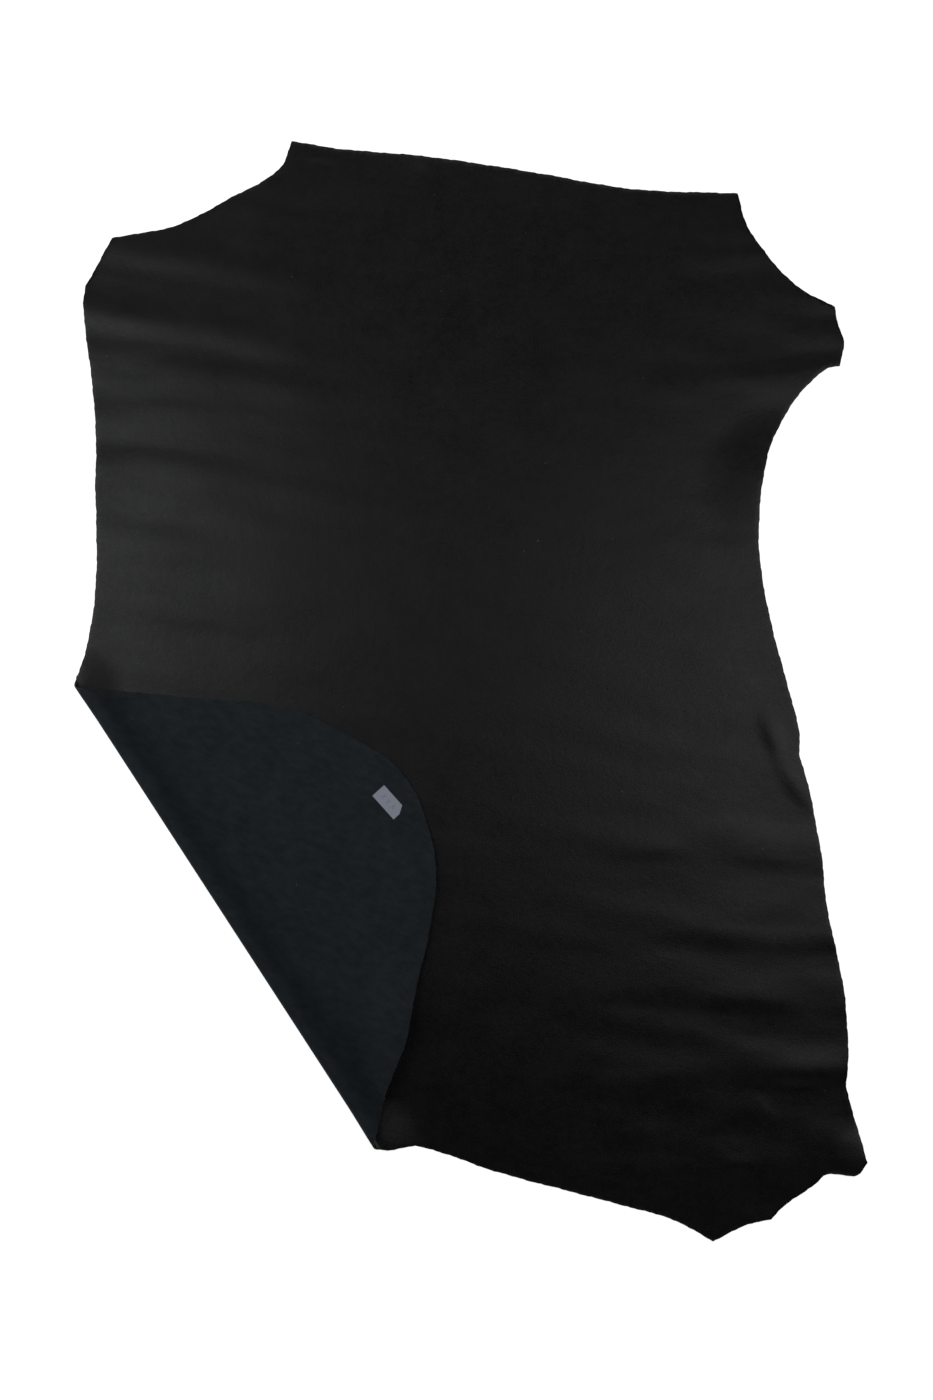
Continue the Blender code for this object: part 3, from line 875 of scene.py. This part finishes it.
class HIDE_OT_add_label(bpy.types.Operator):
    """Add the paper label with a snipped corner and a few pen marks"""
    bl_idname = "hide.add_label"
    bl_label = "Add label"

    def execute(self, context):
        settings = context.scene.hide_label
        colours = context.scene.hide_colours
        skin = Skin(context.scene.hide_skin)
        length, width = settings.length / MM, settings.width / MM
        thickness = settings.thickness / MM
        edge = np.array((
            (-length / 2, -width / 2), (length / 2, -width / 2),
            (length / 2, width / 2 - LABEL_SNIP_ACROSS),
            (length / 2 - LABEL_SNIP_ALONG, width / 2), (-length / 2, width / 2),
        ))
        rows = np.vstack([start + (end - start) * share
                          for start, end in zip(edge, np.roll(edge, -1, axis=0))
                          for share in (np.arange(6) / 6)[:, None, None]]).reshape(-1, 2)
        columns, lines = np.meshgrid(np.arange(-18, 18, 2.5), np.arange(-9, 9, 2.5))
        inner = np.column_stack((columns.ravel(), lines.ravel()))
        inner = inner[inside(inner, edge, 0.6)]
        points = [Vector(point) for point in np.vstack((rows, inner))]
        found = delaunay_2d_cdt(points, [], [list(range(len(rows)))], 1, 0.01)
        flat = np.array([tuple(point) for point in found[0]])
        places = label_place(skin, flat, thickness)
        upward = [list(face) if signed_area(flat[list(face)]) > 0.0 else list(reversed(face))
                  for face in found[2]]
        mesh = sheet_mesh("label_paper", places, upward, flat, [label_paper(colours)])
        piece = link_mesh("label_paper", mesh)
        wall = piece.modifiers.new("thickness", "SOLIDIFY")
        wall.thickness = settings.thickness
        wall.offset = -1.0
        made_plain(piece)
        piece.data.set_sharp_from_angle(angle=math.radians(40.0))
        self.add_marks(skin, colours, thickness)
        return {"FINISHED"}

    def add_marks(self, skin, colours, thickness):
        """Short curved pen strokes in a row. They form no letters or figures."""
        curve = bpy.data.curves.new("label_pen_marks", "CURVE")
        curve.dimensions = "3D"
        curve.bevel_depth = 0.16 * MM
        curve.bevel_resolution = 1
        curve.use_fill_caps = True
        stroke = namedtuple("stroke", "start rise bow slant")
        strokes = (
            stroke(-12.0, 7.0, 2.2, 1.4), stroke(-7.5, 6.0, -1.8, 2.6), stroke(-3.0, 7.5, 1.2, -1.8),
            stroke(1.0, 5.5, -2.4, 1.0), stroke(5.5, 7.0, 1.9, 2.4), stroke(9.5, 5.0, -1.5, -1.2),
        )
        for row in strokes:
            share = np.linspace(-0.5, 0.5, 9)
            along = row.start + row.slant * share + row.bow * np.cos(share * math.pi)
            points = label_place(skin, np.column_stack((along, row.rise * share)), thickness)
            spline = curve.splines.new("POLY")
            spline.points.add(len(points) - 1)
            for target, place in zip(spline.points, points):
                target.co = (*place, 1.0)
        drawn = bpy.data.objects.new("label_pen_curve", curve)
        bpy.context.scene.collection.objects.link(drawn)
        bpy.context.view_layer.update()
        evaluated = drawn.evaluated_get(bpy.context.evaluated_depsgraph_get())
        mesh = bpy.data.meshes.new_from_object(evaluated)
        bpy.data.objects.remove(drawn)
        bpy.data.curves.remove(curve)
        mesh.materials.clear()
        mesh.materials.append(pen_ink(colours))
        link_mesh("label_pen_marks", mesh)


class HIDE_OT_add_fibres(bpy.types.Operator):
    """Scatter loose fibres over the skin with Geometry Nodes"""
    bl_idname = "hide.add_fibres"
    bl_label = "Add loose fibres"

    def execute(self, context):
        skin_piece = bpy.data.objects.get("hide_leather")
        if skin_piece is None:
            raise RuntimeError("the skin is added before its fibres")
        piece = link_mesh("loose_fibres", skin_piece.data.copy())
        tree, inputs = fibre_tree(lint_fibre(context.scene.hide_colours))
        scatter = piece.modifiers.new("fibres", "NODES")
        scatter.node_group = tree
        values = {"Count per m2": 70.0, "Length": 2.4 * MM, "Thickness": 0.4 * MM, "Seed": 7}
        for name, value in values.items():
            scatter[inputs[name]] = value
        made_plain(piece)
        piece.data.shade_smooth()
        return {"FINISHED"}


def fibre_tree(material):
    """Geometry Nodes that put small bent fibres on the faces that look up."""
    tree = bpy.data.node_groups.new("loose_fibres", "GeometryNodeTree")
    tree.interface.new_socket("Geometry", in_out="INPUT", socket_type="NodeSocketGeometry")
    tree.interface.new_socket("Geometry", in_out="OUTPUT", socket_type="NodeSocketGeometry")
    inputs = {}
    for name, kind in (("Count per m2", "NodeSocketFloat"), ("Length", "NodeSocketFloat"),
                       ("Thickness", "NodeSocketFloat"), ("Seed", "NodeSocketInt")):
        socket = tree.interface.new_socket(name, in_out="INPUT", socket_type=kind)
        inputs[name] = socket.identifier
    given = add_node(tree, "NodeGroupInput").outputs
    normal = add_node(tree, "GeometryNodeInputNormal")
    upward = add_node(tree, "ShaderNodeSeparateXYZ", {0: normal.outputs[0]})
    looks_up = add_node(tree, "FunctionNodeCompare", {0: upward.outputs["Z"], 1: 0.6},
                        data_type="FLOAT", operation="GREATER_THAN")
    scattered = add_node(tree, "GeometryNodeDistributePointsOnFaces",
                         {"Mesh": given["Geometry"], "Selection": looks_up.outputs[0],
                          "Density": given["Count per m2"], "Seed": given["Seed"]})
    end = add_node(tree, "ShaderNodeCombineXYZ", {"X": given["Length"]})
    half = add_node(tree, "ShaderNodeMath", {0: given["Length"], 1: 0.5}, operation="MULTIPLY")
    bow = add_node(tree, "ShaderNodeMath", {0: given["Length"], 1: 0.3}, operation="MULTIPLY")
    middle = add_node(tree, "ShaderNodeCombineXYZ",
                      {"X": half.outputs["Value"], "Y": bow.outputs["Value"]})
    path = add_node(tree, "GeometryNodeCurveQuadraticBezier",
                    {"Resolution": 3, "Start": (0.0, 0.0, 0.0),
                     "Middle": middle.outputs["Vector"], "End": end.outputs["Vector"]})
    profile = add_node(tree, "GeometryNodeCurvePrimitiveCircle", {"Resolution": 3})
    thin = add_node(tree, "ShaderNodeMath", {0: given["Thickness"], 1: 0.5},
                    operation="MULTIPLY")
    tree.links.new(thin.outputs["Value"], profile.inputs["Radius"])
    fibre = add_node(tree, "GeometryNodeCurveToMesh",
                     {"Curve": path.outputs["Curve"],
                      "Profile Curve": profile.outputs["Curve"], "Fill Caps": True})
    turn = add_node(tree, "FunctionNodeRandomValue", {"Seed": given["Seed"]},
                    data_type="FLOAT_VECTOR")
    turn.inputs["Max"].default_value = (0.2, 0.2, 2.0 * math.pi)
    size = add_node(tree, "FunctionNodeRandomValue", {"Seed": given["Seed"]}, data_type="FLOAT")
    size.inputs[2].default_value = 0.35
    size.inputs[3].default_value = 1.0
    placed = add_node(tree, "GeometryNodeInstanceOnPoints",
                      {"Points": scattered.outputs["Points"],
                       "Instance": fibre.outputs["Mesh"],
                       "Rotation": turn.outputs["Value"], "Scale": size.outputs[1]})
    lift = add_node(tree, "ShaderNodeCombineXYZ", {"Z": given["Thickness"]})
    raised = add_node(tree, "GeometryNodeTranslateInstances",
                      {"Instances": placed.outputs["Instances"],
                       "Translation": lift.outputs["Vector"], "Local Space": False})
    real = add_node(tree, "GeometryNodeRealizeInstances",
                    {"Geometry": raised.outputs["Instances"]})
    dressed = add_node(tree, "GeometryNodeSetMaterial",
                       {"Geometry": real.outputs["Geometry"], "Material": material})
    add_node(tree, "NodeGroupOutput", {"Geometry": dressed.outputs["Geometry"]})
    return tree, inputs


# ---- the stage ---------------------------------------------------------------------------------
class HIDE_OT_add_stage(bpy.types.Operator):
    """Add the lit floor, the softboxes, the white surroundings and the camera"""
    bl_idname = "hide.add_stage"
    bl_label = "Add stage"

    def execute(self, context):
        stage = context.scene.hide_stage
        self.add_floor(stage, context.scene.hide_colours)
        for box in SOFTBOXES:
            self.add_softbox(box, getattr(stage, box.power))
        self.add_world(context.scene, stage)
        self.add_camera(context.scene)
        context.scene.view_settings.view_transform = "Standard"
        return {"FINISHED"}

    def add_floor(self, stage, colours):
        half = stage.floor_size / 2.0
        mesh = bpy.data.meshes.new("floor")
        corners = [(-half, -half, 0.0), (half, -half, 0.0), (half, half, 0.0), (-half, half, 0.0)]
        mesh.from_pydata(corners, [], [(0, 1, 2, 3)])
        mesh.materials.append(studio_floor(colours))
        link_mesh("floor", mesh)

    def add_softbox(self, box, power):
        light = bpy.data.lights.new(box.name, "AREA")
        light.shape = "RECTANGLE"
        light.size = box.width
        light.size_y = box.length
        light.energy = power
        light.color = srgb(box.tint)[:3]
        lamp = bpy.data.objects.new(box.name, light)
        bpy.context.scene.collection.objects.link(lamp)
        lamp.location = (box.x, box.y, box.z)
        lamp.visible_camera = False
        aim = Vector((0.0, box.aim_y, 0.0)) - lamp.location
        lamp.rotation_euler = aim.to_track_quat("-Z", "Y").to_euler()

    def add_world(self, scene, stage):
        """White all round to the eye, and dim ambient light on the things in it."""
        world = bpy.data.worlds.new("studio")
        world.use_nodes = True
        tree = world.node_tree
        tree.nodes.clear()
        seen = add_node(tree, "ShaderNodeBackground", {"Color": (1.0, 1.0, 1.0, 1.0)})
        fill = add_node(tree, "ShaderNodeBackground",
                        {"Color": (1.0, 1.0, 1.0, 1.0), "Strength": stage.ambient})
        path = add_node(tree, "ShaderNodeLightPath")
        mixed = add_node(tree, "ShaderNodeMixShader",
                         {"Fac": path.outputs["Is Camera Ray"], 1: fill.outputs["Background"],
                          2: seen.outputs["Background"]})
        add_node(tree, "ShaderNodeOutputWorld", {"Surface": mixed.outputs["Shader"]})
        scene.world = world

    def add_camera(self, scene):
        camera = bpy.data.cameras.new("camera")
        camera.lens = LENS
        camera.sensor_width = SENSOR
        camera.clip_end = 200.0
        viewer = bpy.data.objects.new("camera", camera)
        scene.collection.objects.link(viewer)
        height = VIEW_LENGTH * LENS / SENSOR
        viewer.location = (VIEW_CENTRE[0] * MM, VIEW_CENTRE[1] * MM, height * MM)
        scene.camera = viewer


class HIDE_OT_declare(bpy.types.Operator):
    """Attach each piece to the root body it moves with, and hide the imported hide and label solids
    that the pieces replace
    """
    bl_idname = "hide.declare"
    bl_label = "Declare pieces"

    def execute(self, context):
        leather, paper, marks, fibres = (
            bpy.data.objects[name]
            for name in ("hide_leather", "label_paper", "label_pen_marks", "loose_fibres"))
        for piece in (leather, paper, marks, fibres):
            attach(piece, "root")
        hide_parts("hide")
        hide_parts("label")
        return {"FINISHED"}


class HIDE_PT_panel(bpy.types.Panel):
    """Lists the builders and their settings"""
    bl_idname = "HIDE_PT_panel"
    bl_label = "Leather hide"
    bl_space_type = "VIEW_3D"
    bl_region_type = "UI"
    bl_category = "Hide"

    def draw(self, context):
        for operator in OPERATORS:
            self.layout.operator(operator.bl_idname)
        for name, group in SETTINGS.items():
            box = self.layout.box()
            for setting in group.__annotations__:
                box.prop(getattr(context.scene, name), setting)


OPERATORS = (HIDE_OT_add_stage, HIDE_OT_add_skin, HIDE_OT_add_label, HIDE_OT_add_fibres,
             HIDE_OT_declare)
SETTINGS = {
    "hide_skin": SkinSettings,
    "hide_label": LabelSettings,
    "hide_colours": ColourSettings,
    "hide_stage": StageSettings,
}


def register():
    for group in SETTINGS.values():
        bpy.utils.register_class(group)
    for name, group in SETTINGS.items():
        setattr(bpy.types.Scene, name, bpy.props.PointerProperty(type=group))
    for operator in OPERATORS:
        bpy.utils.register_class(operator)
    bpy.utils.register_class(HIDE_PT_panel)


def unregister():
    bpy.utils.unregister_class(HIDE_PT_panel)
    for operator in reversed(OPERATORS):
        bpy.utils.unregister_class(operator)
    for name, group in SETTINGS.items():
        delattr(bpy.types.Scene, name)
        bpy.utils.unregister_class(group)


def main():
    register()
    bpy.ops.hide.add_stage()
    bpy.ops.hide.add_skin()
    bpy.ops.hide.add_label()
    bpy.ops.hide.add_fibres()
    bpy.ops.hide.declare()


if __name__ == "__main__":
    main()
